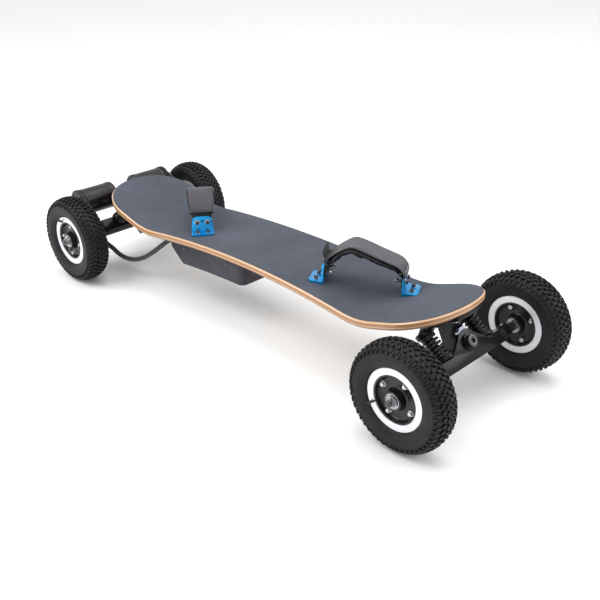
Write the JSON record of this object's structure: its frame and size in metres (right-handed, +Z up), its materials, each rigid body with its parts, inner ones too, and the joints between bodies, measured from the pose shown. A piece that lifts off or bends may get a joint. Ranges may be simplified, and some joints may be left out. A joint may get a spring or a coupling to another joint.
{
  "type": "electric skateboard",
  "caption": "All-terrain electric skateboard: cambered plywood deck, sprung trucks, pneumatic wheels, belt drive, under-deck battery box and foot straps.",
  "frame": {"origin": "on the ground, midway between the axles and between the wheels", "axes": "+X forward towards the tip without motors, +Y to the left, +Z up"},
  "size_m": [1.168, 0.424, 0.2477],
  "materials": {
    "tyre": "moulded rubber, matt",
    "tube": "plain rubber",
    "ring": "satin, pale",
    "hub_black": "moulded, semi-gloss",
    "hardware": "bright zinc plate",
    "truck_black": "black, semi-gloss",
    "steel": "machined",
    "spring": "black",
    "motor_black": "gloss black",
    "pulley": "black anodised",
    "belt": "ribbed",
    "deck_wood": "maple plies, clear coat",
    "grip": "fine grit, dark slate",
    "box_plastic": "fine texture",
    "battery": "shrink wrap",
    "button": "polished",
    "socket": "plated",
    "bracket_blue": "blue anodised",
    "strap": "woven, charcoal",
    "lead": "braided sleeve"
  },
  "bodies": {
    "deck": {"front_kingpin": "hardware", "front_springs": "spring", "front_top_truck": "truck_black", "rear_kingpin": "hardware", "rear_springs": "spring", "rear_top_truck": "truck_black", "deck": "deck_wood", "grip_tape": "grip", "truck_bolts": "hardware", "battery_box": "box_plastic", "box_screws": "steel", "battery_pack": "battery", "motor_controller": "ring", "charge_socket": "socket", "binding_brackets": "bracket_blue", "binding_screws": "hardware", "front_strap": "strap", "rear_strap": "strap", "motor_lead": "lead"},
    "front_left_wheel": {"front_left_tyre": "tyre", "front_left_inner_tube": "tube", "front_left_rim_rings": "ring", "front_left_hub": "hub_black", "front_left_hub_bolts": "hardware", "front_left_bearings": "hardware"},
    "front_right_wheel": {"front_right_tyre": "tyre", "front_right_inner_tube": "tube", "front_right_rim_rings": "ring", "front_right_hub": "hub_black", "front_right_hub_bolts": "hardware", "front_right_bearings": "hardware"},
    "rear_left_wheel": {"rear_left_tyre": "tyre", "rear_left_inner_tube": "tube", "rear_left_rim_rings": "ring", "rear_left_hub": "hub_black", "rear_left_hub_bolts": "hardware", "rear_left_bearings": "hardware", "left_wheel_pulley": "pulley"},
    "rear_right_wheel": {"rear_right_tyre": "tyre", "rear_right_inner_tube": "tube", "rear_right_rim_rings": "ring", "rear_right_hub": "hub_black", "rear_right_hub_bolts": "hardware", "rear_right_bearings": "hardware", "right_wheel_pulley": "pulley"},
    "front_hanger": {"front_hanger": "truck_black", "front_axle": "steel", "front_axle_nuts": "steel"},
    "rear_hanger": {"rear_hanger": "truck_black", "rear_axle": "steel", "rear_axle_nuts": "steel", "right_motor": "motor_black", "right_motor_mount": "truck_black", "right_belt": "belt", "left_motor": "motor_black", "left_motor_mount": "truck_black", "left_belt": "belt"},
    "right_motor_rotor": {"right_motor_rotor": "steel"},
    "left_motor_rotor": {"left_motor_rotor": "steel"},
    "power_button": {"power_button": "button"}
  },
  "joints": [
    {"name": "front_steer", "type": "hinge", "parent": "deck", "child": "front_hanger", "pos_m": [0.495, 0, 0.134], "axis": [0.8192, 0, 0.5736], "range_deg": [-16, 16], "stiffness_Nm_per_rad": 160, "deforming": ["front_springs"]},
    {"name": "rear_steer", "type": "hinge", "parent": "deck", "child": "rear_hanger", "pos_m": [-0.495, 0, 0.134], "axis": [-0.8192, 0, 0.5736], "range_deg": [-16, 16], "stiffness_Nm_per_rad": 160, "deforming": ["rear_springs", "motor_lead"]},
    {"name": "front_left_spin", "type": "hinge", "parent": "front_hanger", "child": "front_left_wheel", "pos_m": [0.484, 0.175, 0.1], "axis": [0, 1, 0], "continuous": true},
    {"name": "front_right_spin", "type": "hinge", "parent": "front_hanger", "child": "front_right_wheel", "pos_m": [0.484, -0.175, 0.1], "axis": [0, 1, 0], "continuous": true},
    {"name": "rear_left_spin", "type": "hinge", "parent": "rear_hanger", "child": "rear_left_wheel", "pos_m": [-0.484, 0.175, 0.1], "axis": [0, 1, 0], "continuous": true},
    {"name": "rear_right_spin", "type": "hinge", "parent": "rear_hanger", "child": "rear_right_wheel", "pos_m": [-0.484, -0.175, 0.1], "axis": [0, 1, 0], "continuous": true},
    {"name": "right_motor_spin", "type": "hinge", "parent": "rear_hanger", "child": "right_motor_rotor", "pos_m": [-0.543, -0.117, 0.157], "axis": [0, 1, 0], "continuous": true},
    {"name": "left_motor_spin", "type": "hinge", "parent": "rear_hanger", "child": "left_motor_rotor", "pos_m": [-0.543, 0.117, 0.157], "axis": [0, 1, 0], "continuous": true},
    {"name": "power_press", "type": "slide", "parent": "deck", "child": "power_button", "axis": [-1, 0, 0], "range_m": [0, 0.0015], "stiffness_N_per_m": 1500}
  ],
  "couplings": [
    {"joint": "right_motor_spin", "follows": "rear_right_spin", "ratio": 4.1333},
    {"joint": "left_motor_spin", "follows": "rear_left_spin", "ratio": 4.1333}
  ]
}
